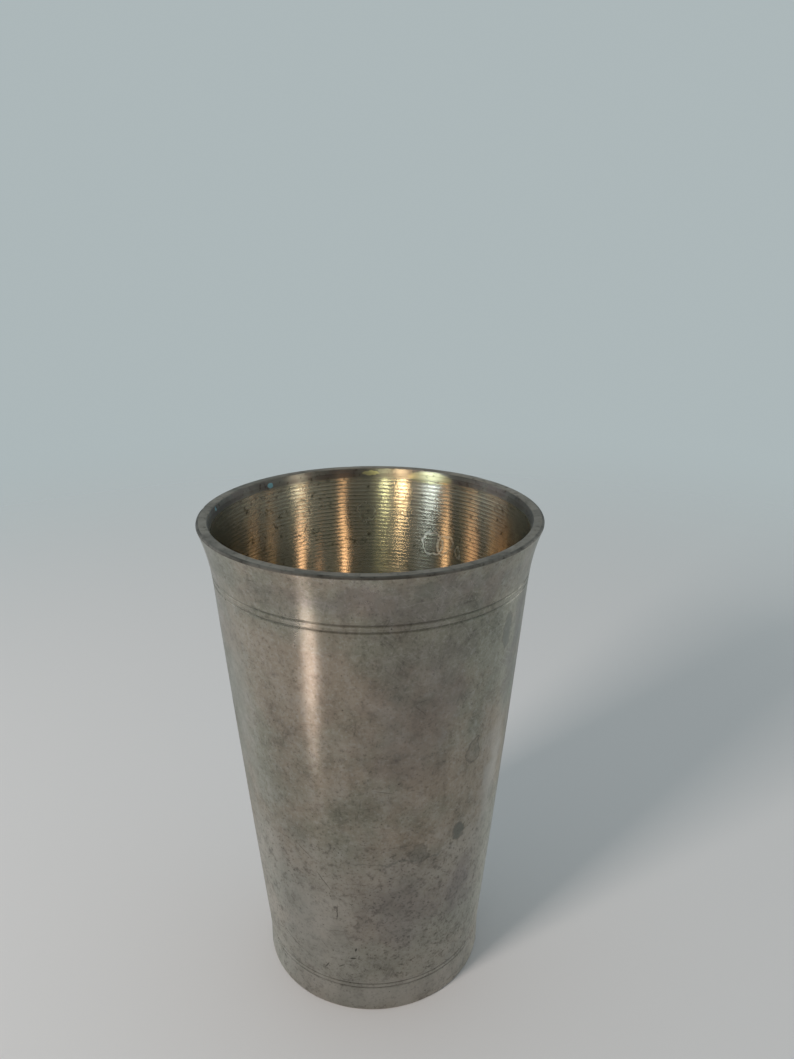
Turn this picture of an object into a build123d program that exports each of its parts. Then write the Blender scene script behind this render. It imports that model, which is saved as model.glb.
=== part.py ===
from build123d import *
import os

# A tapered pewter measuring cup, in millimetres.
# The origin is the centre of the foot's underside, and +Z points up through the mouth.

# overall size
height = 106.7
lip_diameter = 70.0
foot_diameter = 49.5

# outside of the wall: an upright foot band, a slightly bulged taper and a short flare
band_height = 6.4
middle_height = 53.3
middle_radius = 29.03
shoulder_height = 95.2
shoulder_radius = 32.5
flare_height = 100.3
flare_radius = 33.3
arris_radius = 0.5

# inside of the wall: a bell mouth below the lip, and a bore that follows the taper
lip_width = 2.1
mouth_middle_height = 105.2
mouth_middle_radius = 32.52
bore_top_height = 103.8
bore_top_radius = 32.4
bore_middle_radius = 26.9
bore_floor_radius = 22.35

# the turned lines, as heights of their centres above the foot
lower_line_heights = [6.5, 7.6]
upper_line_heights = [95.2, 96.6]
line_width = 0.5
line_depth = 0.15

# the bottom: a disc let up into a rebate in the foot, with solder in the corner below it
disc_radius = 23.25
disc_thickness = 2.4
foot_recess = 1.6
solder_leg = 0.8

# worked out from the above
lip_radius = lip_diameter / 2
foot_radius = foot_diameter / 2
floor_height = foot_recess + disc_thickness
line_radius = (line_width**2 / 4 + line_depth**2) / (2 * line_depth)

os.makedirs("parts", exist_ok=True)


def line_centre(stretch, z):
    # the tool that cuts a line sits outside the wall, so that it bites to the line's depth
    bottom = stretch @ 0
    top = stretch @ 1
    on_wall = stretch @ ((z - bottom.Y) / (top.Y - bottom.Y))
    return (on_wall.X + line_radius - line_depth, z)


# cup_wall: one turned piece, revolved from its outline and scored with the turned lines
with BuildPart() as cup_wall:
    with BuildSketch(Plane.XZ) as wall_outline:
        with BuildLine():
            foot_band = Line((foot_radius, 0), (foot_radius, band_height))
            taper = ThreePointArc(
                foot_band @ 1,
                (middle_radius, middle_height),
                (shoulder_radius, shoulder_height),
            )
            flare = ThreePointArc(
                taper @ 1,
                (flare_radius, flare_height),
                (lip_radius, height - arris_radius),
            )
            arris = TangentArc(
                flare @ 1,
                (lip_radius - arris_radius, height),
                tangent=(0, 1),
            )
            lip = Line(arris @ 1, (lip_radius - lip_width, height))
            mouth = ThreePointArc(
                lip @ 1,
                (mouth_middle_radius, mouth_middle_height),
                (bore_top_radius, bore_top_height),
            )
            bore = ThreePointArc(
                mouth @ 1,
                (bore_middle_radius, middle_height),
                (bore_floor_radius, floor_height),
            )
            ledge = Line(bore @ 1, (disc_radius, floor_height))
            rebate = Line(ledge @ 1, (disc_radius, 0))
            foot_ring = Line(rebate @ 1, foot_band @ 0)
        make_face()
        foot_corner = wall_outline.vertices().sort_by_distance((foot_radius, 0))[0]
        fillet(foot_corner, radius=arris_radius)
    revolve(axis=Axis.Z)

    with BuildSketch(Plane.XZ) as turned_lines:
        with Locations([line_centre(taper, z) for z in lower_line_heights]):
            Circle(line_radius)
        with Locations([line_centre(flare, z) for z in upper_line_heights]):
            Circle(line_radius)
    revolve(axis=Axis.Z, mode=Mode.SUBTRACT)

cup_wall.part.label = "cup_wall"
export_step(cup_wall.part, "parts/cup_wall.step")


# base_disc: the floor of the cup, pushed up against the ledge at the top of the rebate
with BuildPart() as base_disc:
    with BuildSketch(Plane.XY.offset(foot_recess)):
        Circle(disc_radius)
    extrude(amount=disc_thickness)

base_disc.part.label = "base_disc"
export_step(base_disc.part, "parts/base_disc.step")


# solder_seam: a hollow-faced fillet that runs round the corner between the disc and the rebate
with BuildPart() as solder_seam:
    with BuildSketch(Plane.XZ):
        with BuildLine():
            on_disc = Line(
                (disc_radius - solder_leg, foot_recess),
                (disc_radius, foot_recess),
            )
            on_wall = Line(on_disc @ 1, (disc_radius, foot_recess - solder_leg))
            RadiusArc(on_wall @ 1, on_disc @ 0, solder_leg)
        make_face()
    revolve(axis=Axis.Z)

solder_seam.part.label = "solder_seam"
export_step(solder_seam.part, "parts/solder_seam.step")
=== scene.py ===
import math
from functools import partial

import bpy
from mathutils import Euler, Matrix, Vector


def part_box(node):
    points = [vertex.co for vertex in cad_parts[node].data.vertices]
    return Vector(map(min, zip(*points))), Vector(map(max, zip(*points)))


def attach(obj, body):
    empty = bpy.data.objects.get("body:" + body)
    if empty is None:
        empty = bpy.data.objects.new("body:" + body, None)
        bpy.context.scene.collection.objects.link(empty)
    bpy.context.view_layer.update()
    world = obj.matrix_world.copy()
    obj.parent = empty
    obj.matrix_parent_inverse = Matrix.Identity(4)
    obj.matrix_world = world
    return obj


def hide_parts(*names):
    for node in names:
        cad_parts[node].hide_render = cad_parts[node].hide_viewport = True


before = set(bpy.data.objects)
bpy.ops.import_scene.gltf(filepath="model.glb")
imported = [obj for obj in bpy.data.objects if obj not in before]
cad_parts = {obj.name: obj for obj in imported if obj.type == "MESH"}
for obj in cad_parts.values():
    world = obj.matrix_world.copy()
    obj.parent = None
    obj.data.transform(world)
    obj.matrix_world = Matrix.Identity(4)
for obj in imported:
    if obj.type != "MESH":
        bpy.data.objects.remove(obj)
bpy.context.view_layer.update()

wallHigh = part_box("cup_wall")[1]
discLow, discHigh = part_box("base_disc")
seamLow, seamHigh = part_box("solder_seam")
mm = 0.001
lipTop, lipEdge = wallHigh[2] / mm, wallHigh[0] / mm
floorTop, rebate = discHigh[2] / mm, discHigh[0] / mm
print("frame loaded, cup is %.1f mm high" % lipTop)

soft = {"interpolation_type": "SMOOTHSTEP"}    # a Map Range that eases in and out
blend = {"data_type": "RGBA"}                  # a Mix that takes its colours on sockets 6 and 7


def linearColour(hexText):
    channels = [int(hexText[i:i + 2], 16) / 255 for i in (1, 3, 5)]
    return [c / 12.92 if c <= 0.04045 else ((c + 0.055) / 1.055) ** 2.4 for c in channels] + [1]


def addNode(tree, kind, inputs=None, output=0, **settings):
    # inputs are links, numbers or hex colours, by socket name or number
    node = tree.nodes.new("ShaderNode" + kind)
    for name, value in settings.items():
        setattr(node, name, value)
    for name, value in (inputs or {}).items():
        if isinstance(value, bpy.types.NodeSocket):
            tree.links.new(value, node.inputs[name])
        else:
            node.inputs[name].default_value = linearColour(value) if isinstance(value, str) else value
    return node.outputs[output] if node.outputs else None


def newMaterial(name):
    material = bpy.data.materials.new(name)
    material.use_nodes = True
    material.node_tree.nodes.clear()
    return material, partial(addNode, material.node_tree)


def finishMaterial(add, colour, roughness, normal, metal):
    # every metal here is turned or drawn round the cup, so its tangent runs round the axis
    inputs = {"Base Color": colour, "Roughness": roughness, "Normal": normal, "Metallic": metal["metallic"],
              "Anisotropic": metal["anisotropic"], "Anisotropic Rotation": 0.25,
              "Tangent": add("Tangent", direction_type="RADIAL", axis="Z")}
    add("OutputMaterial", {"Surface": add("BsdfPrincipled", inputs)})


def onlyThis(piece):
    if bpy.context.object and bpy.context.object.mode != "OBJECT":
        bpy.ops.object.mode_set(mode="OBJECT")
    bpy.ops.object.select_all(action="DESELECT")
    piece.select_set(True)
    bpy.context.view_layer.objects.active = piece


def arcPoints(first, middle, last, steps):
    # points along the circle through three points, from the second one on
    (ax, ay), (bx, by), (cx, cy) = first, middle, last
    d = 2 * (ax * (by - cy) + bx * (cy - ay) + cx * (ay - by))
    a2, b2, c2 = ax * ax + ay * ay, bx * bx + by * by, cx * cx + cy * cy
    ox = (a2 * (by - cy) + b2 * (cy - ay) + c2 * (ay - by)) / d
    oy = (a2 * (cx - bx) + b2 * (ax - cx) + c2 * (bx - ax)) / d
    radius = math.hypot(ax - ox, ay - oy)
    start = math.atan2(ay - oy, ax - ox)
    end = math.atan2(cy - oy, cx - ox)
    turn = (end - start + math.pi) % (2 * math.pi) - math.pi
    angles = [start + turn * i / steps for i in range(1, steps + 1)]
    return [(ox + radius * math.cos(t), oy + radius * math.sin(t)) for t in angles]


def linePoints(first, last, steps):
    (ax, ay), (bx, by) = first, last
    return [(ax + (bx - ax) * i / steps, ay + (by - ay) * i / steps) for i in range(1, steps + 1)]


def turnPiece(name, outline, segments, closed):
    # one corner of the outline is extruded along it, point by point, and then spun round the axis
    bpy.ops.object.select_all(action="DESELECT")
    bpy.ops.mesh.primitive_plane_add(size=1 * mm, location=(0, 0, 0))
    piece = bpy.context.object
    piece.name = piece.data.name = name
    bpy.ops.object.mode_set(mode="EDIT")
    bpy.ops.mesh.select_all(action="SELECT")
    bpy.ops.mesh.merge(type="CENTER")
    bpy.ops.transform.translate(value=(outline[0][0] * mm, 0, outline[0][1] * mm))
    for (r0, z0), (r1, z1) in zip(outline, outline[1:]):
        step = ((r1 - r0) * mm, 0, (z1 - z0) * mm)
        bpy.ops.mesh.extrude_vertices_move(TRANSFORM_OT_translate={"value": step})
    bpy.ops.mesh.select_all(action="SELECT")
    if closed:
        bpy.ops.mesh.remove_doubles(threshold=0.001 * mm)
    bpy.ops.mesh.spin(steps=segments, angle=2 * math.pi, center=(0, 0, 0), axis=(0, 0, 1))
    bpy.ops.mesh.select_all(action="SELECT")
    bpy.ops.mesh.remove_doubles(threshold=0.002 * mm)
    bpy.ops.mesh.normals_make_consistent(inside=False)
    bpy.ops.object.mode_set(mode="OBJECT")
    return piece


def ripple(piece, waveSize, waveHeight, edgeFade):
    # hand finishing never leaves a face quite even; the top and bottom edges stay true
    onlyThis(piece)
    heights = [vertex.co.z / mm for vertex in piece.data.vertices]
    low, high = min(heights), max(heights)
    group = piece.vertex_groups.new(name="sides")
    for index, height in enumerate(heights):
        group.add([index], min(1, (height - low) / edgeFade, (high - height) / edgeFade), "REPLACE")
    texture = bpy.data.textures.new(piece.name + "Ripple", "CLOUDS")
    texture.noise_scale = waveSize * mm
    texture.noise_depth = 1
    modifier = piece.modifiers.new("ripple", "DISPLACE")
    modifier.texture = texture
    modifier.texture_coords = "LOCAL"
    modifier.strength = waveHeight * mm
    modifier.mid_level = 0.5
    modifier.vertex_group = group.name
    bpy.ops.object.modifier_apply(modifier=modifier.name)


def dent(piece, knock, radius):
    # the nearest point is pushed towards the axis and its neighbours follow
    onlyThis(piece)
    bpy.ops.object.mode_set(mode="EDIT")
    bpy.ops.mesh.select_all(action="DESELECT")
    bpy.ops.object.mode_set(mode="OBJECT")
    bearing = math.radians(knock["angle"])
    outward = Vector((math.sin(bearing), -math.cos(bearing), 0))
    spot = (outward * radius + Vector((0, 0, knock["up"]))) * mm
    nearest = min(piece.data.vertices, key=lambda vertex: (vertex.co - spot).length_squared)
    nearest.select = True
    bpy.ops.object.mode_set(mode="EDIT")
    bpy.ops.transform.translate(value=outward * -knock["push"] * mm, use_proportional_edit=True,
                                proportional_edit_falloff="SMOOTH", use_proportional_connected=True,
                                proportional_size=knock["reach"] * mm)
    bpy.ops.object.mode_set(mode="OBJECT")


viewCamera = {"place": (0.0, -165.95, 161.77), "pitch": 19.60, "yaw": 1.80, "roll": -0.10,
              "focal": 29.13, "sensor": 36.0}

cameraData = bpy.data.cameras.new("camera")
cameraData.lens = viewCamera["focal"]
cameraData.sensor_width = viewCamera["sensor"]
cameraData.clip_start = 0.01
camera = bpy.data.objects.new("camera", cameraData)
bpy.context.collection.objects.link(camera)
camera.location = Vector(viewCamera["place"]) * mm
camera.rotation_euler = Euler([math.radians(turn) for turn in (90 - viewCamera["pitch"], viewCamera["roll"],
                                                               -viewCamera["yaw"])])
bpy.context.scene.camera = camera


# the wall, in mm: a foot band, a long swelling side, a flare, a flat lip, a bell mouth and the bore
cupWall = {
    "segments": 256,
    "footRadius": 24.75, "bandHeight": 6.4, "middle": (29.03, 53.3), "shoulder": (32.5, 95.2),
    "flare": (33.3, 100.3), "arris": 0.5, "innerArris": 0.25,
    "lipWidth": 2.1, "mouthMiddle": (32.52, 105.2), "boreTop": (32.4, 103.8),
    "boreMiddle": 26.9, "boreFloor": 22.35, "rebateBreak": 0.2,
    "lines": (6.5, 7.6, 95.2, 96.6), "lineWidth": 0.55, "lineDepth": 0.16, "lineBurr": 0.03,
    "waveSize": 9.0, "waveHeight": 0.05, "edgeFade": 3.0,
}
wallDents = [
    # knocks that the side has taken: angle from the front, height, reach and depth
    {"angle": -31, "up": 62, "reach": 7, "push": 0.10},
    {"angle": 47, "up": 30, "reach": 9, "push": 0.14},
    {"angle": 8, "up": 14, "reach": 6, "push": 0.08},
    {"angle": 118, "up": 48, "reach": 10, "push": 0.16},
    {"angle": -128, "up": 70, "reach": 8, "push": 0.12},
    {"angle": 172, "up": 36, "reach": 9, "push": 0.10},
]
lipNicks = [
    {"angle": -7.7, "up": lipTop, "reach": 1.1, "push": 0.10},
    {"angle": -171, "up": lipTop, "reach": 1.6, "push": 0.16},
    {"angle": 64, "up": lipTop, "reach": 1.3, "push": 0.10},
    {"angle": 131, "up": lipTop, "reach": 1.8, "push": 0.14},
    {"angle": -96, "up": lipTop, "reach": 1.4, "push": 0.12},
]


def radiusAt(outline, height):
    for (r0, z0), (r1, z1) in zip(outline, outline[1:]):
        if z0 <= height <= z1:
            return r0 + (r1 - r0) * (height - z0) / (z1 - z0)
    return outline[-1][0]


def cutLines(side):
    # turned lines: rounded grooves with a small burr thrown up on each side, on closer points
    c = cupWall
    half = c["lineWidth"] / 2
    heights = {z for r, z in side if all(abs(z - line) > half * 2.1 for line in c["lines"])}
    heights |= {round(line + half * i / 4, 3) for line in c["lines"] for i in range(-8, 9)}
    cut = []
    for z in sorted(heights):
        r = radiusAt(side, z)
        for line in c["lines"]:
            off = abs(z - line) / half
            if off < 1:
                r -= c["lineDepth"] * math.cos(off * math.pi / 2) ** 2
            elif off < 2:
                r += c["lineBurr"] * math.sin((off - 1) * math.pi) ** 2
        cut.append((r, z))
    return cut


def wallOutline():
    c = cupWall
    arris, foot = c["arris"], c["footRadius"]
    eased = arris * (1 - math.sqrt(0.5))
    side = [(foot, arris)]
    side += linePoints(side[-1], (foot, c["bandHeight"]), 8)
    side += arcPoints(side[-1], c["middle"], c["shoulder"], 120)
    side += arcPoints(side[-1], c["flare"], (lipEdge, lipTop - arris), 26)
    outline = [(foot - arris, 0.0)]
    outline += arcPoints(outline[-1], (foot - eased, eased), side[0], 5)[:-1]
    outline += cutLines(side)
    outline += arcPoints(outline[-1], (lipEdge - eased, lipTop - eased), (lipEdge - arris, lipTop), 6)
    inner, turn = lipEdge - c["lipWidth"], c["innerArris"]
    outline += linePoints(outline[-1], (inner + turn, lipTop), 5)
    outline += arcPoints(outline[-1], (inner + turn * 0.4, lipTop - turn * 0.16),
                         (inner - turn * 0.1, lipTop - turn * 0.5), 4)
    outline += arcPoints(outline[-1], c["mouthMiddle"], c["boreTop"], 12)
    outline += arcPoints(outline[-1], (c["boreMiddle"], c["middle"][1]), (c["boreFloor"], floorTop), 100)
    outline += linePoints(outline[-1], (rebate, floorTop), 2)
    outline += linePoints(outline[-1], (rebate, c["rebateBreak"]), 5)
    outline += linePoints(outline[-1], (rebate + c["rebateBreak"], 0.0), 1)
    return outline + linePoints(outline[-1], outline[0], 3)


wall = turnPiece("cupWall", wallOutline(), cupWall["segments"], True)
ripple(wall, cupWall["waveSize"], cupWall["waveHeight"], cupWall["edgeFade"])
for knock in wallDents:
    dent(wall, knock, cupWall["middle"][0])
for nick in lipNicks:
    dent(wall, nick, lipEdge)
onlyThis(wall)
bpy.ops.object.shade_smooth_by_angle(angle=math.radians(40))
print("wall turned and dented, %d faces" % len(wall.data.polygons))


# the bottom disc: faced in the lathe, so it has shallow feed rings and a small cone where the centre held it
baseDisc = {"segments": 192, "feed": 1.15, "feedDepth": 0.022, "centreMark": 0.9, "centreDepth": 0.25,
            "corner": 0.2, "topStep": 0.3, "underStep": 0.4, "quietRim": 1.5}


def facedDepth(r, rim):
    c = baseDisc
    if r >= rim:
        return 0
    rings = c["feedDepth"] * 0.5 * (1 - math.cos(2 * math.pi * r / c["feed"]))
    return rings * min(1, (rim - r) / c["quietRim"]) + c["centreDepth"] * max(0, 1 - r / c["centreMark"])


def discOutline():
    # from the centre of the underside, round the rim, to the centre of the floor
    c = baseDisc
    under, corner = discLow[2] / mm, c["corner"]
    flat, eased = rebate - corner, c["corner"] * (1 - math.sqrt(0.5))
    count = int(flat / c["underStep"])
    outline = [(flat * i / count, under + facedDepth(flat * i / count, flat)) for i in range(count + 1)]
    outline += arcPoints((flat, under), (rebate - eased, under + eased), (rebate, under + corner), 3)
    outline += linePoints(outline[-1], (rebate, floorTop), 3)
    count = int(rebate / c["topStep"])
    top = [rebate * (1 - i / count) for i in range(1, count + 1)]
    return outline + [(radius, floorTop - facedDepth(radius, cupWall["boreFloor"])) for radius in top]


disc = turnPiece("baseDisc", discOutline(), baseDisc["segments"], False)
onlyThis(disc)
bpy.ops.object.shade_smooth_by_angle(angle=math.radians(40))
print("disc faced, %d faces" % len(disc.data.polygons))


# the solder: a hollow-faced fillet under the disc, run round by hand, so its face is lumpy
solderBead = {"segments": 240, "hollow": 0.34, "waveSize": 2.4, "waveHeight": 0.12, "edgeFade": 0.2}


def beadOutline():
    rim, top = seamHigh[0] / mm, seamHigh[2] / mm
    leg = top - seamLow[2] / mm
    sag = leg * solderBead["hollow"]
    outline = [(rim, top)]
    outline += linePoints(outline[-1], (rim - leg, top), 4)
    outline += arcPoints(outline[-1], (rim - sag, top - sag), (rim, top - leg), 10)
    return outline + linePoints(outline[-1], outline[0], 4)


bead = turnPiece("solderBead", beadOutline(), solderBead["segments"], True)
ripple(bead, solderBead["waveSize"], solderBead["waveHeight"], solderBead["edgeFade"])
onlyThis(bead)
bpy.ops.object.shade_smooth_by_angle(angle=math.radians(50))
print("solder run, %d faces" % len(bead.data.polygons))


def laidFlat(add, position, radius, seam):
    # the wall unrolled, in mm: arc length across and height up; the seam is at the back (-1) or the front (1)
    axes = add("SeparateXYZ", {0: position}).node.outputs
    depth = add("Math", {0: axes[1], 1: seam}, operation="MULTIPLY")
    angle = add("Math", {0: axes[0], 1: depth}, operation="ARCTAN2")
    across = add("Math", {0: angle, 1: radius}, operation="MULTIPLY")
    up = add("Math", {0: axes[2], 1: mm}, operation="DIVIDE")
    return up, add("CombineXYZ", {0: across, 1: up})


def tornFlat(add, position, flat, size, reach):
    # the same flat place pushed about by noise, so that what is drawn on it gets a ragged edge
    noise = add("TexNoise", {"Vector": position, "Scale": 1 / (size * mm), "Detail": 3}, "Color")
    push = add("VectorMath", {0: noise, 1: (0.5, 0.5, 0.5)}, operation="SUBTRACT")
    return add("VectorMath", {0: push, 1: (reach, reach, 0), 2: flat}, operation="MULTIPLY_ADD")


def markDistance(add, flat, mark, radius):
    # how far a place is from a mark's centre; 1 is the mark's own edge
    place = (math.radians(mark["angle"]) * radius, mark["up"], 0)
    size = (mark["wide"] / 2, mark["tall"] / 2, 1)
    lean = (0, 0, math.radians(mark.get("lean", 0)))
    near = add("Mapping", {"Vector": flat, "Location": place, "Rotation": lean, "Scale": size},
               vector_type="TEXTURE")
    return add("VectorMath", {0: near}, "Value", operation="LENGTH")


def drawMark(add, colour, far, mark, fillColour, edgeColour):
    # a dried drop: a thin film inside and a tide mark at its edge
    fill = add("MapRange", {0: far, 1: 1.1, 2: 0.7, 4: mark.get("fill", 0)}, **soft)
    colour = add("Mix", {0: fill, 6: colour, 7: fillColour}, 2, **blend)
    offEdge = add("Math", {0: far, 1: 0.95}, operation="SUBTRACT")
    offEdge = add("Math", {0: offEdge}, operation="ABSOLUTE")
    edge = add("MapRange", {0: offEdge, 1: mark.get("edgeWidth", 0.18), 2: 0.0, 4: mark.get("edge", 0)},
               **soft)
    return add("Mix", {0: edge, 6: colour, 7: edgeColour}, 2, **blend), edge


# Aged turned pewter, outside. Tin under a satin grey oxide that was turned and then handled: it reflects
# softly, smeared up and down by the turning, with cloudy warm and green greys and fine dark speckle.
agedPewter = {
    "warm": "#AB9F90", "olive": "#9A988A", "dark": "#5E5954", "pale": "#BFBBB5", "stain": "#73756F",
    "bloom": "#BEBBB4", "soot": "#2A2725", "purple": "#787074",
    "metallic": 0.95, "anisotropic": 1.0, "radius": 29.0,
    # roughness near the lip and near the foot, and the heights where each is reached
    "roughTop": 0.30, "roughFoot": 0.40, "handledTo": 96.0, "dullFrom": 30.0,
    # sizes of the patterns in mm; below the tide line the metal has stood wet
    "patches": {"cloud": 24.0, "mottle": 6.0, "grain": 1.4, "speck": 0.55},
    "smear": 2.6, "smearStretch": 0.35, "pitCell": 1.7, "turning": 0.45, "tide": (50.0, 38.0),
    "tideWander": 30.0, "belowTidePaling": 0.42, "lineDarkening": 0.25, "bumpDepth": 0.03,
}
outsideLayers = [
    # pattern, where it starts and is full, its strength above and below the tide line, colour
    ("mottle", 0.50, 0.72, 0.22, 0.24, "dark"),
    ("mottle", 0.50, 0.28, 0.25, 0.20, "pale"),
    ("smear", 0.54, 0.70, 0.20, 0.22, "dark"),
    ("smear", 0.46, 0.32, 0.25, 0.22, "pale"),
    ("grain", 0.50, 0.68, 0.30, 0.50, "dark"),
    ("grain", 0.49, 0.34, 0.28, 0.30, "pale"),
    ("speck", 0.54, 0.66, 0.45, 0.70, "dark"),
    ("speck", 0.46, 0.34, 0.40, 0.45, "pale"),
]
driedDrops = [
    # angle from the front, height, width and height in mm, and how strong the film and its edge are
    {"angle": 53.8, "up": 88.7, "wide": 3.0, "tall": 7.8, "fill": 0.70, "edge": 0.35},
    {"angle": 16.7, "up": 103.0, "wide": 4.8, "tall": 3.8, "fill": 0.40, "edge": 0.15},
    {"angle": 18.3, "up": 43.1, "wide": 4.4, "tall": 5.2, "fill": 0.35, "edge": 0.35},
    {"angle": 41.2, "up": 64.5, "wide": 3.6, "tall": 5.6, "fill": 0.20, "edge": 0.45},
    {"angle": 37.4, "up": 45.5, "wide": 3.0, "tall": 4.6, "fill": 0.75, "edge": 0.30},
    {"angle": 59.0, "up": 50.0, "wide": 2.4, "tall": 4.0, "fill": 0.20, "edge": 0.40},
    {"angle": -64.0, "up": 50.0, "wide": 5.0, "tall": 6.5, "fill": 0.15, "edge": 0.20},
    {"angle": 104.0, "up": 74.0, "wide": 4.4, "tall": 6.4, "fill": 0.40, "edge": 0.40},
    {"angle": 139.0, "up": 33.0, "wide": 5.6, "tall": 7.0, "fill": 0.25, "edge": 0.40},
    {"angle": -112.0, "up": 84.0, "wide": 3.8, "tall": 5.4, "fill": 0.45, "edge": 0.40},
    {"angle": -149.0, "up": 52.0, "wide": 6.0, "tall": 8.0, "fill": 0.15, "edge": 0.35},
    {"angle": 12.0, "up": 42.0, "wide": 26.0, "tall": 0.5, "fill": 0.40},
]
smudgesAndDarkReflection = [
    # broad dull patches with no edge; the three at 12 degrees down the middle of the front are painted shade,
    # a dark reflection of the dim room in front of the cup, and the others are dull patches
    {"angle": 12.0, "up": 29.0, "wide": 24.0, "tall": 27.0, "fill": 0.34},
    {"angle": 42.0, "up": 30.0, "wide": 13.0, "tall": 18.0, "fill": 0.40},
    {"angle": 12.0, "up": 76.0, "wide": 20.0, "tall": 44.0, "fill": 0.30},
    {"angle": 26.0, "up": 84.0, "wide": 9.0, "tall": 30.0, "fill": 0.25},
    {"angle": 12.0, "up": 101.0, "wide": 60.0, "tall": 9.0, "fill": 0.35},
    {"angle": 63.0, "up": 84.0, "wide": 7.0, "tall": 26.0, "fill": 0.40},
    {"angle": -120.0, "up": 40.0, "wide": 26.0, "tall": 30.0, "fill": 0.45},
    {"angle": 150.0, "up": 62.0, "wide": 22.0, "tall": 34.0, "fill": 0.40},
]
bloomsAndSheen = [
    # pale places where the oxide is thin or a white film has dried; the one on the right flank is a painted
    # reflection of the lit floor and the one low on the front left a painted sheen
    # painted reflection of the lit floor on the right flank
    {"angle": 56.0, "up": 54.0, "wide": 8.0, "tall": 30.0, "fill": 0.60},
    {"angle": -58.0, "up": 72.0, "wide": 12.0, "tall": 50.0, "fill": 0.25},
    {"angle": 5.0, "up": 4.0, "wide": 70.0, "tall": 12.0, "fill": 0.45},
    # painted sheen low on the front left
    {"angle": -27.0, "up": 22.0, "wide": 24.0, "tall": 34.0, "fill": 0.42},
    {"angle": 95.0, "up": 30.0, "wide": 12.0, "tall": 36.0, "fill": 0.35},
    {"angle": -160.0, "up": 70.0, "wide": 14.0, "tall": 50.0, "fill": 0.30},
]
scratches = [
    # angle and height of the middle, length, lean from level and width; all cut through to dark metal
    {"angle": -47.0, "up": 14.6, "wide": 15.0, "tall": 0.30, "lean": -17, "fill": 0.75},
    {"angle": -17.0, "up": 28.2, "wide": 5.4, "tall": 0.34, "lean": 86, "fill": 0.85},
    {"angle": -17.6, "up": 29.6, "wide": 1.2, "tall": 0.90, "lean": 20, "fill": 0.60},
    {"angle": 61.5, "up": 15.0, "wide": 5.5, "tall": 0.40, "lean": 62, "fill": 0.80},
    {"angle": -9.0, "up": 18.1, "wide": 1.5, "tall": 0.55, "lean": 70, "fill": 0.95},
    {"angle": -10.5, "up": 15.2, "wide": 1.6, "tall": 0.75, "lean": 10, "fill": 0.95},
    {"angle": -23.7, "up": 11.4, "wide": 2.8, "tall": 0.45, "lean": 55, "fill": 0.75},
    {"angle": -15.8, "up": 12.4, "wide": 2.2, "tall": 0.40, "lean": 30, "fill": 0.70},
    {"angle": -22.0, "up": 36.0, "wide": 7.0, "tall": 0.30, "lean": -58, "fill": 0.55},
    {"angle": -30.0, "up": 43.0, "wide": 5.0, "tall": 0.30, "lean": -40, "fill": 0.55},
    {"angle": 4.0, "up": 60.0, "wide": 6.0, "tall": 0.26, "lean": -12, "fill": 0.40},
    {"angle": 122.0, "up": 58.0, "wide": 16.0, "tall": 0.32, "lean": 38, "fill": 0.70},
    {"angle": -140.0, "up": 26.0, "wide": 11.0, "tall": 0.36, "lean": -64, "fill": 0.70},
    {"angle": 168.0, "up": 80.0, "wide": 9.0, "tall": 0.30, "lean": 24, "fill": 0.60},
]
hairlines = [
    # lean from level, length and width of fine scuffs that lie all over, in mm
    {"lean": 71, "long": 8.0, "thin": 0.32, "dark": 0.30, "pale": 0.26},
    {"lean": -48, "long": 5.0, "thin": 0.32, "dark": 0.30, "pale": 0.26},
    {"lean": 12, "long": 10.0, "thin": 0.32, "dark": 0.26, "pale": 0.22},
]


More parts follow.
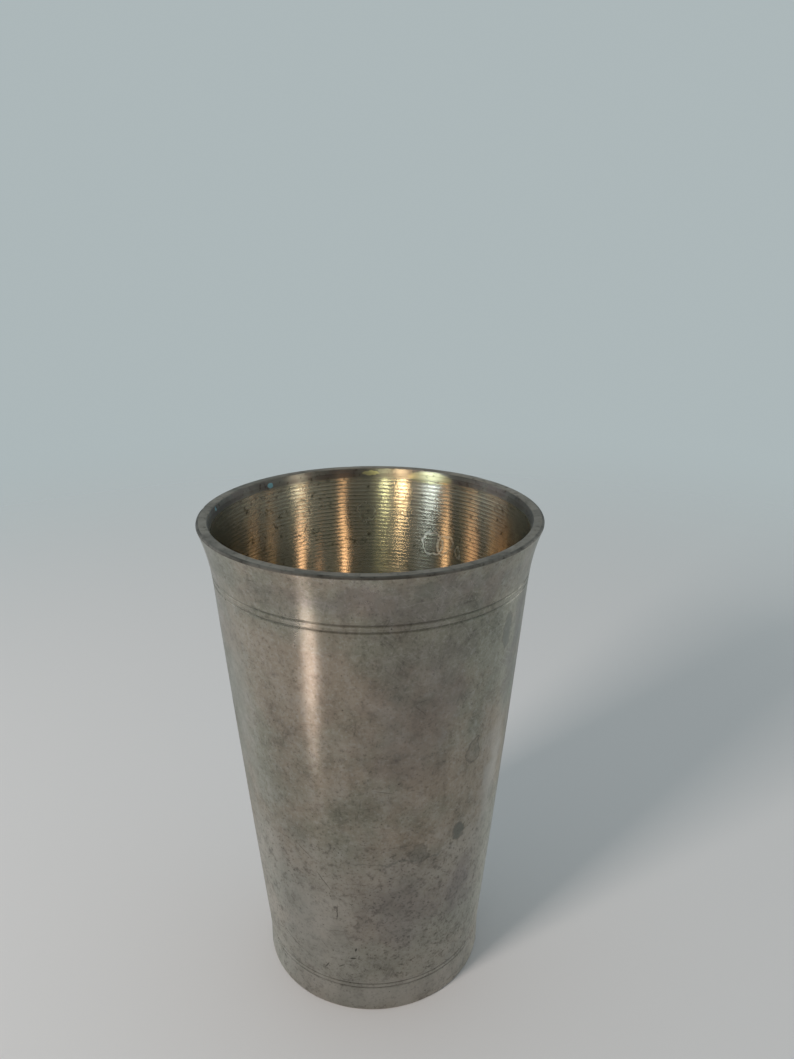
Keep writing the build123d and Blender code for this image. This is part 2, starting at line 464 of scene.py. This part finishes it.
def makeOutsidePewter():
    p = agedPewter
    material, add = newMaterial("agedTurnedPewter")
    position = add("TexCoord", None, "Object")
    up, flat = laidFlat(add, position, p["radius"], -1.0)
    torn = tornFlat(add, position, flat, 2.5, 3.5)
    swayed = tornFlat(add, position, flat, 14.0, 6.0)
    pattern = {}
    for name, size in p["patches"].items():
        pattern[name] = add("TexNoise", {"Vector": position, "W": len(pattern), "Scale": 1 / (size * mm),
                                         "Detail": 5, "Roughness": 0.64}, noise_dimensions="4D")
    upright = add("Mapping", {"Vector": position, "Scale": (1, 1, p["smearStretch"])})
    pattern["smear"] = add("TexNoise", {"Vector": upright, "Scale": 1 / (p["smear"] * mm), "Detail": 5,
                                        "Roughness": 0.6})
    tide = add("SeparateXYZ", {0: tornFlat(add, position, flat, 9.0, p["tideWander"])}, 1)
    below = add("MapRange", {0: tide, 1: p["tide"][0], 2: p["tide"][1]}, **soft)
    warmth = add("MapRange", {0: pattern["cloud"], 1: 0.4, 2: 0.6}, **soft)
    colour = add("Mix", {0: warmth, 6: p["warm"], 7: p["olive"]}, 2, **blend)
    # the colour is drawn paler below the tide line
    paling = add("Math", {0: below, 1: p["belowTidePaling"]}, operation="MULTIPLY")
    colour = add("Mix", {0: paling, 6: colour, 7: p["bloom"]}, 2, **blend)
    for name, start, full, above, under, tint in outsideLayers:
        strength = add("MapRange", {0: below, 3: above, 4: under})
        amount = add("MapRange", {0: pattern[name], 1: start, 2: full, 4: strength}, **soft)
        colour = add("Mix", {0: amount, 6: colour, 7: p[tint]}, 2, **blend)
    # the purple marks down the middle of the front are painted shade; among the pale ones are a painted sheen
    # and a painted reflection of the floor
    for marks, tear, tint in ((smudgesAndDarkReflection, (6.0, 16.0), "purple"), (bloomsAndSheen, (4.0, 12.0), "pale")):
        ragged = tornFlat(add, position, flat, *tear)
        for mark in marks:
            far = markDistance(add, ragged, mark, p["radius"])
            amount = add("MapRange", {0: far, 1: 1.2, 2: 0.2, 4: mark["fill"]}, **soft)
            colour = add("Mix", {0: amount, 6: colour, 7: p[tint]}, 2, **blend)
    for drop in driedDrops:
        far = markDistance(add, torn, drop, p["radius"])
        colour = drawMark(add, colour, far, drop, p["stain"], p["dark"])[0]
    for line in cupWall["lines"]:
        # the turned lines are drawn darker
        offLine = add("Math", {0: up, 1: line}, operation="SUBTRACT")
        offLine = add("Math", {0: offLine}, operation="ABSOLUTE")
        amount = add("MapRange", {0: offLine, 1: 0.30, 2: 0.08, 4: p["lineDarkening"]}, **soft)
        colour = add("Mix", {0: amount, 6: colour, 7: p["soot"]}, 2, **blend)
    for scuff in hairlines:
        lines = add("Mapping", {"Vector": swayed, "Rotation": (0, 0, math.radians(scuff["lean"])),
                                "Scale": (scuff["long"], scuff["thin"], 1)}, vector_type="TEXTURE")
        noise = add("TexNoise", {"Vector": lines, "Scale": 1.0, "Detail": 0})
        here = add("MapRange", {0: pattern["mottle"], 1: 0.50, 2: 0.66, 4: scuff["dark"]})
        amount = add("MapRange", {0: noise, 1: 0.70, 2: 0.78, 4: here})
        colour = add("Mix", {0: amount, 6: colour, 7: p["soot"]}, 2, **blend)
        there = add("MapRange", {0: pattern["cloud"], 1: 0.48, 2: 0.62, 4: scuff["pale"]})
        amount = add("MapRange", {0: noise, 1: 0.31, 2: 0.24, 4: there})
        colour = add("Mix", {0: amount, 6: colour, 7: p["pale"]}, 2, **blend)
    # pits: small dark holes that lie in clusters, thickest below the tide line
    cells = add("TexVoronoi", {"Vector": position, "Scale": 1 / (p["pitCell"] * mm)}).node.outputs
    chance = add("SeparateColor", {0: cells["Color"]}).node.outputs
    rarity = add("MapRange", {0: below, 3: 0.72, 4: 0.45})
    crowd = add("MapRange", {0: pattern["cloud"], 1: 0.35, 2: 0.65, 3: -0.12, 4: 0.25})
    rarity = add("Math", {0: rarity, 1: crowd}, operation="ADD")
    chosen = add("Math", {0: chance[0], 1: rarity}, operation="GREATER_THAN")
    size = add("MapRange", {0: chance[1], 3: 0.04, 4: 0.15})
    hole = add("MapRange", {0: cells["Distance"], 1: size, 2: 0.02}, **soft)
    pit = add("Math", {0: hole, 1: chosen}, operation="MULTIPLY")
    bent = tornFlat(add, position, flat, 5.0, 1.6)
    for scratch in scratches:
        far = markDistance(add, bent, scratch, p["radius"])
        cut = add("MapRange", {0: far, 1: 1.0, 2: 0.5, 4: scratch["fill"]})
        pit = add("Math", {0: pit, 1: cut}, operation="MAXIMUM")
    dug = add("Math", {0: pit, 1: 0.8}, operation="MULTIPLY")
    colour = add("Mix", {0: dug, 6: colour, 7: p["soot"]}, 2, **blend)
    dullness = add("MapRange", {0: up, 1: p["handledTo"], 2: p["dullFrom"], 3: p["roughTop"],
                                4: p["roughFoot"]})
    patchy = add("MapRange", {0: pattern["mottle"], 1: 0.3, 2: 0.7, 3: -0.05, 4: 0.07})
    roughness = add("Math", {0: dullness, 1: patchy}, operation="ADD")
    rings = add("Mapping", {"Vector": position, "Scale": (0.03, 0.03, 1)})
    turning = add("TexNoise", {"Vector": rings, "Scale": 1 / (p["turning"] * mm), "Detail": 2})
    height = add("Math", {0: turning, 1: 0.3, 2: pattern["grain"]}, operation="MULTIPLY_ADD")
    height = add("Math", {0: pit, 1: -1.5, 2: height}, operation="MULTIPLY_ADD")
    normal = add("Bump", {"Strength": 0.5, "Distance": p["bumpDepth"] * mm, "Height": height})
    finishMaterial(add, colour, roughness, normal, p)
    return material


# Straw tarnished pewter, inside. Clean turned rings under a thin gold film, kept from wear, so it is a dark
# olive mirror that draws lamps out into upright warm streaks. Drink has dried on it in pale loops.
strawPewter = {
    "straw": "#C6C2B4", "olive": "#B8B6A8", "silver": "#86847E", "rose": "#7C7672", "spot": "#4A463A",
    "scum": "#EFECE0", "yellow": "#D9D3A0", "cyan": "#8FC3D2",
    "metallic": 1.0, "anisotropic": 1.0, "radius": 31.0,
    # the bore is smooth, the bell mouth rubbed, and dried scum adds its own roughness
    "roughness": 0.24, "bandRoughness": 0.36, "scumRoughness": 0.30,
    # sizes of the patterns in mm
    "cloud": 14.0, "grain": 1.2, "film": 4.5, "ringPitch": 0.9, "ringHeight": 1.2, "turning": 0.3,
    "grooveDirt": 0.5, "bumpDepth": 0.02, "bandFade": (0.3, 1.1),
}
waterMarks = [
    # angle from the far side, height, width and height in mm: closed pale outlines
    {"angle": 28.6, "up": 89.4, "wide": 5.6, "tall": 5.8, "edge": 0.60, "edgeWidth": 0.12},
    {"angle": 34.5, "up": 89.6, "wide": 4.2, "tall": 5.0, "edge": 0.50, "edgeWidth": 0.12},
    {"angle": 42.0, "up": 88.4, "wide": 1.4, "tall": 3.0, "edge": 0.55, "edgeWidth": 0.26},
    {"angle": -2.0, "up": 96.0, "wide": 4.2, "tall": 4.6, "edge": 0.12, "edgeWidth": 0.12},
    {"angle": 140.0, "up": 82.0, "wide": 7.0, "tall": 5.0, "edge": 0.35, "edgeWidth": 0.10},
    {"angle": -118.0, "up": 70.0, "wide": 6.0, "tall": 8.0, "edge": 0.30, "edgeWidth": 0.10},
]
filmAndGlintPatches = [
    # thin bright film colours on the bell mouth, two of them painted reflections of lamps: angle from the far
    # side, height, width and height in mm
    {"angle": -44.9, "up": 105.4, "wide": 1.6, "tall": 1.3, "fill": 0.95, "tint": "cyan"},
    {"angle": -81.7, "up": 105.9, "wide": 1.0, "tall": 0.9, "fill": 0.90, "tint": "cyan"},
    # the next two yellow patches on the far side are painted reflections of lamps in the bell mouth
    {"angle": 0.0, "up": 105.5, "wide": 4.0, "tall": 1.1, "fill": 0.80, "tint": "yellow"},
    {"angle": 26.0, "up": 105.0, "wide": 11.0, "tall": 3.0, "fill": 0.60, "tint": "yellow"},
    {"angle": 150.0, "up": 105.2, "wide": 7.0, "tall": 1.6, "fill": 0.60, "tint": "yellow"},
    {"angle": -135.0, "up": 105.4, "wide": 3.0, "tall": 1.2, "fill": 0.60, "tint": "cyan"},
]


def makeInsidePewter():
    p = strawPewter
    material, add = newMaterial("strawTarnishedPewter")
    position = add("TexCoord", None, "Object")
    up, flat = laidFlat(add, position, p["radius"], 1.0)
    cloud = add("TexNoise", {"Vector": position, "Scale": 1 / (p["cloud"] * mm), "Detail": 3})
    grain = add("TexNoise", {"Vector": position, "Scale": 1 / (p["grain"] * mm), "Detail": 4,
                             "Roughness": 0.65})
    shade = add("MapRange", {0: cloud, 1: 0.35, 2: 0.65}, **soft)
    colour = add("Mix", {0: shade, 6: p["straw"], 7: p["olive"]}, 2, **blend)
    # the bell mouth is handled more, so its film is thin: silver and rose
    film = add("TexNoise", {"Vector": position, "Scale": 1 / (p["film"] * mm), "Detail": 2})
    blush = add("MapRange", {0: film, 1: 0.42, 2: 0.58}, **soft)
    bandColour = add("Mix", {0: blush, 6: p["silver"], 7: p["rose"]}, 2, **blend)
    boreTop = cupWall["boreTop"][1]
    band = add("MapRange", {0: up, 1: boreTop + p["bandFade"][0], 2: boreTop + p["bandFade"][1]}, **soft)
    colour = add("Mix", {0: band, 6: colour, 7: bandColour}, 2, **blend)
    frayed = tornFlat(add, position, flat, 0.8, 0.8)
    for patch in filmAndGlintPatches:
        far = markDistance(add, frayed, patch, p["radius"])
        amount = add("MapRange", {0: far, 1: 1.1, 2: 0.8, 4: patch["fill"]}, **soft)
        colour = add("Mix", {0: amount, 6: colour, 7: p[patch["tint"]]}, 2, **blend)
    dried = 0.0
    uneven = tornFlat(add, position, flat, 2.2, 3.0)
    for loop in waterMarks:
        far = markDistance(add, uneven, loop, p["radius"])
        colour, edge = drawMark(add, colour, far, loop, p["scum"], p["scum"])
        dried = add("Math", {0: edge, 1: dried}, operation="MAXIMUM")
    dirt = add("MapRange", {0: grain, 1: 0.54, 2: 0.72, 4: 0.75}, **soft)
    colour = add("Mix", {0: dirt, 6: colour, 7: p["spot"]}, 2, **blend)
    # turned rings: dirt sits in the grooves in places
    phase = add("Math", {0: up, 1: 2 * math.pi / p["ringPitch"]}, operation="MULTIPLY")
    ring = add("Math", {0: phase}, operation="SINE")
    groove = add("MapRange", {0: ring, 1: 0.5, 2: 1.0, 4: shade})
    groove = add("Math", {0: groove, 1: p["grooveDirt"]}, operation="MULTIPLY")
    colour = add("Mix", {0: groove, 6: colour, 7: p["spot"]}, 2, **blend)
    roughness = add("MapRange", {0: grain, 1: 0.3, 2: 0.7, 3: p["roughness"] - 0.005,
                                 4: p["roughness"] + 0.015})
    handled = add("Math", {0: band, 1: p["bandRoughness"] - p["roughness"], 2: roughness},
                  operation="MULTIPLY_ADD")
    handled = add("Math", {0: dried, 1: p["scumRoughness"], 2: handled}, operation="MULTIPLY_ADD")
    tool = add("Mapping", {"Vector": position, "Scale": (0.02, 0.02, 1)})
    turning = add("TexNoise", {"Vector": tool, "Scale": 1 / (p["turning"] * mm), "Detail": 2})
    height = add("Math", {0: ring, 1: p["ringHeight"], 2: turning}, operation="MULTIPLY_ADD")
    normal = add("Bump", {"Strength": 0.4, "Distance": p["bumpDepth"] * mm, "Height": height})
    finishMaterial(add, colour, handled, normal, p)
    return material


# The other faces are the same family of metal in other states, with a grain and a slower cloud over it.
plainMetals = {
    # Turned flat and then wiped by use: an even dull brown grey that is nearly matt.
    "handledLipPewter": {"face": "#968D82", "shade": "#504B44", "roughness": 0.44, "grain": 1.4,
                         "metallic": 0.95, "anisotropic": 0.3},
    # Darker than the lip's flat in patches, which draws a broken dark line round the lip.
    "darkArrisPewter": {"face": "#817C75", "shade": "#35322E", "roughness": 0.5, "grain": 1.1,
                            "metallic": 0.9, "anisotropic": 0.3},
    # Rubbed on tables: brighter than the side, with grey scuffs.
    "wornFootPewter": {"face": "#B4B0A8", "shade": "#66625C", "roughness": 0.36, "grain": 1.8,
                       "metallic": 0.95, "anisotropic": 0.5},
    # Faced in the lathe, and gold where drink has stood on it.
    "facedDiscPewter": {"face": "#A79E84", "shade": "#665F4C", "roughness": 0.38, "grain": 2.0,
                        "metallic": 0.95, "anisotropic": 0.7},
    # Tin solder wiped while soft: smoother and paler than the cup.
    "softSolder": {"face": "#B5B4AF", "shade": "#77746C", "roughness": 0.34, "grain": 0.9,
                   "metallic": 0.95, "anisotropic": 0.0},
}


def makePlainMetal(name):
    p = plainMetals[name]
    material, add = newMaterial(name)
    position = add("TexCoord", None, "Object")
    grain = add("TexNoise", {"Vector": position, "Scale": 1 / (p["grain"] * mm), "Detail": 5,
                             "Roughness": 0.65})
    cloud = add("TexNoise", {"Vector": position, "Scale": 1 / (p["grain"] * 6 * mm), "Detail": 3})
    amount = add("MapRange", {0: cloud, 1: 0.35, 2: 0.7, 4: 0.6}, **soft)
    colour = add("Mix", {0: amount, 6: p["face"], 7: p["shade"]}, 2, **blend)
    amount = add("MapRange", {0: grain, 1: 0.5, 2: 0.75, 4: 0.7}, **soft)
    colour = add("Mix", {0: amount, 6: colour, 7: p["shade"]}, 2, **blend)
    roughness = add("MapRange", {0: grain, 1: 0.3, 2: 0.7, 3: p["roughness"] - 0.06,
                                 4: p["roughness"] + 0.1})
    normal = add("Bump", {"Strength": 0.3, "Distance": 0.03 * mm, "Height": grain})
    finishMaterial(add, colour, roughness, normal, p)
    return material


# where one finish of the wall gives way to the next, in mm: up from the foot, out from the rebate, down
# from the lip to the arris's lower end and down from the lip to the end of its flat
finishBounds = {"footTop": 0.3, "rebateSlack": 0.1, "arrisDepth": 0.49, "lipDepth": 0.2}


def dressWall():
    # one slot for each finish, given out by where a face lies and which way it looks
    bounds = finishBounds
    for material in (makeOutsidePewter(), makeInsidePewter(), makePlainMetal("handledLipPewter"),
                     makePlainMetal("darkArrisPewter"), makePlainMetal("wornFootPewter")):
        wall.data.materials.append(material)
    outside, inside, lip, arris, foot = range(5)
    for face in wall.data.polygons:
        across, height = face.center.xy.length / mm, face.center.z / mm
        looksIn = face.normal.xy.dot(face.center.xy) < 0
        inRebate = looksIn and across < rebate + bounds["rebateSlack"] and height < floorTop
        if height < bounds["footTop"] or inRebate:
            face.material_index = foot
        elif height > lipTop - bounds["arrisDepth"] and across > lipEdge - cupWall["arris"]:
            face.material_index = arris
        elif height > lipTop - bounds["lipDepth"]:
            face.material_index = lip
        else:
            face.material_index = inside if looksIn else outside


dressWall()
disc.data.materials.append(makePlainMetal("facedDiscPewter"))
bead.data.materials.append(makePlainMetal("softSolder"))
print("materials made")

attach(wall, "root")
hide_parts("cup_wall")
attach(disc, "root")
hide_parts("base_disc")
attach(bead, "root")
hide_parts("solder_seam")


# a round sheet of matt paper in pale air, with a window in front on the left and a dim room all round
studio = {"floorRadius": 0.9, "paper": "#E6E5E8", "paperRoughness": 0.6, "fade": (0.14, 0.55),
          "air": "#AFBABC", "airStrength": 0.97, "dimRoom": "#8B8982", "turnsFrom": -0.9, "turnsTo": 0.2}
panels = {
    # bearing from straight in front and height angle in degrees, distance and size in metres, watts
    "window": {"bearing": -50, "rise": 20, "away": 1.0, "size": (0.24, 0.40), "power": 7.5,
               "colour": "#FFF4EA"},
    "card": {"bearing": -43.5, "rise": -7, "away": 0.2, "size": (0.056, 0.03), "power": 0.00070,
             "colour": "#FFF0EA", "aim": 100, "spread": 15},
    "leftRoom": {"bearing": -105, "rise": 18, "away": 1.1, "size": (0.7, 0.7), "power": 1.05,
                 "colour": "#F4F6F8"},
    "doorway": {"bearing": -42, "rise": 0, "away": 1.0, "size": (0.3, 0.6), "power": 0.2,
                "colour": "#FFF2E8"},
    "rightRoom": {"bearing": 112, "rise": 2, "away": 0.8, "size": (0.35, 0.22), "power": 0.33,
                  "colour": "#F2F2F0"},
}
streakLamps = {
    # small lamps hung in and over the mouth, each where the bore mirrors it as an upright streak:
    # the streak's angle from the far side, lamp width and height range in mm, watts
    "lowAmber": {"streak": -31.5, "wide": 2.6, "span": (66, 84), "power": 0.00034, "colour": "#FFC89A"},
    "smallAmber": {"streak": -24.5, "wide": 1.6, "span": (52, 66), "power": 0.00012, "colour": "#FFB880"},
    "tallAmber": {"streak": -12.0, "wide": 2.2, "span": (68, 94), "power": 0.00040, "colour": "#FFC896"},
    "paleLeft": {"streak": -32.0, "wide": 4.0, "span": (114, 140), "power": 0.0017, "colour": "#EFE6CE"},
    "paleGreen": {"streak": 6.2, "wide": 2.0, "span": (114, 150), "power": 0.0024, "colour": "#EEF0C4"},
    "tallGold": {"streak": 13.7, "wide": 3.0, "span": (112, 165), "power": 0.0080, "colour": "#FFDDB0"},
    "paleBlue": {"streak": 27.2, "wide": 5.5, "span": (114, 160), "power": 0.0070, "colour": "#D2DEE4"},
    "amber": {"streak": 33.4, "wide": 2.0, "span": (70, 92), "power": 0.00026, "colour": "#FFCB9A"},
    "broadAmber": {"streak": 47.0, "wide": 4.5, "span": (70, 90), "power": 0.00016, "colour": "#FFC08C"},
}
# the lamps' light spreads over this many degrees, and they hang this far from the axis, in mm
streakHanging = {"spread": 110, "radius": 26.0}


def makeFloor():
    bpy.ops.object.select_all(action="DESELECT")
    bpy.ops.mesh.primitive_circle_add(vertices=96, radius=studio["floorRadius"], fill_type="NGON")
    floor = bpy.context.object
    floor.name = "studioFloor"
    material, add = newMaterial("studioPaper")
    position = add("TexCoord", None, "Object")
    far = add("VectorMath", {0: position}, "Value", operation="LENGTH")
    # the paper fades into the air behind it, so that no horizon shows
    fade = add("MapRange", {0: far, 1: studio["fade"][0], 2: studio["fade"][1], 3: 1.0, 4: 0.0}, **soft)
    paper = add("BsdfPrincipled", {"Base Color": studio["paper"], "Roughness": studio["paperRoughness"],
                                   "Alpha": fade})
    add("OutputMaterial", {"Surface": paper})
    floor.data.materials.append(material)


def makeAir():
    # the camera sees plain pale air; the metal mirrors a room that is dim and warm in front of the cup
    world = bpy.data.worlds.new("studioAir")
    bpy.context.scene.world = world
    world.use_nodes = True
    world.node_tree.nodes.clear()
    add = partial(addNode, world.node_tree)
    depth = add("SeparateXYZ", {0: add("TexCoord", None, "Generated")}, 1)
    turned = add("MapRange", {0: depth, 1: studio["turnsFrom"], 2: studio["turnsTo"]}, **soft)
    room = add("Mix", {0: turned, 6: studio["dimRoom"], 7: studio["air"]}, 2, **blend)
    seen = add("LightPath", None, "Is Camera Ray")
    colour = add("Mix", {0: seen, 6: room, 7: studio["air"]}, 2, **blend)
    air = add("Background", {"Color": colour, "Strength": studio["airStrength"]})
    add("OutputWorld", {"Surface": air})


def addPanel(name, place, facing, size, power, colour):
    light = bpy.data.lights.new(name, "AREA")
    light.shape = "RECTANGLE"
    light.size, light.size_y = size
    light.energy = power
    light.color = linearColour(colour)[:3]
    lamp = bpy.data.objects.new(name, light)
    bpy.context.collection.objects.link(lamp)
    lamp.location = place
    lamp.rotation_euler = facing.to_track_quat("-Z", "Y").to_euler()
    lamp.visible_camera = False
    return lamp


def mirroredPlace(streak):
    # where the camera sees through the bore's mirror at one angle, just inside the lip
    bearing = math.radians(streak)
    inward = Vector((-math.sin(bearing), -math.cos(bearing)))
    spot = inward * -cupWall["boreTop"][0]
    sight = (spot - Vector(viewCamera["place"]).xy).normalized()
    bounced = sight - 2 * sight.dot(inward) * inward
    along = -spot.dot(bounced)
    reach = along + math.sqrt(along ** 2 - spot.length_squared + streakHanging["radius"] ** 2)
    return spot + bounced * reach, -bounced


makeFloor()
for name, panel in panels.items():
    bearing, rise = math.radians(panel["bearing"]), math.radians(panel["rise"])
    toward = Vector((math.sin(bearing) * math.cos(rise), -math.cos(bearing) * math.cos(rise), math.sin(rise)))
    place = toward * panel["away"] + Vector((0, 0, lipTop * mm / 2))
    facing = Vector((0, 0, panel.get("aim", lipTop / 2) * mm)) - place
    lamp = addPanel(name, place, facing, panel["size"], panel["power"], panel["colour"])
    lamp.data.spread = math.radians(panel.get("spread", 180))
    # the window lights the paper, the card beside it draws the cup's bright line
    lamp.visible_diffuse = name == "window"
    lamp.visible_glossy = name != "window"
for name, streak in streakLamps.items():
    place, facing = mirroredPlace(streak["streak"])
    low, high = streak["span"]
    lamp = addPanel(name, place.to_3d() * mm + Vector((0, 0, (low + high) / 2 * mm)), facing.to_3d(),
                    (streak["wide"] * mm, (high - low) * mm), streak["power"], streak["colour"])
    lamp.data.spread = math.radians(streakHanging["spread"])
    lamp.visible_diffuse = False
makeAir()
bpy.context.scene.view_settings.view_transform = "Standard"
print("studio set")
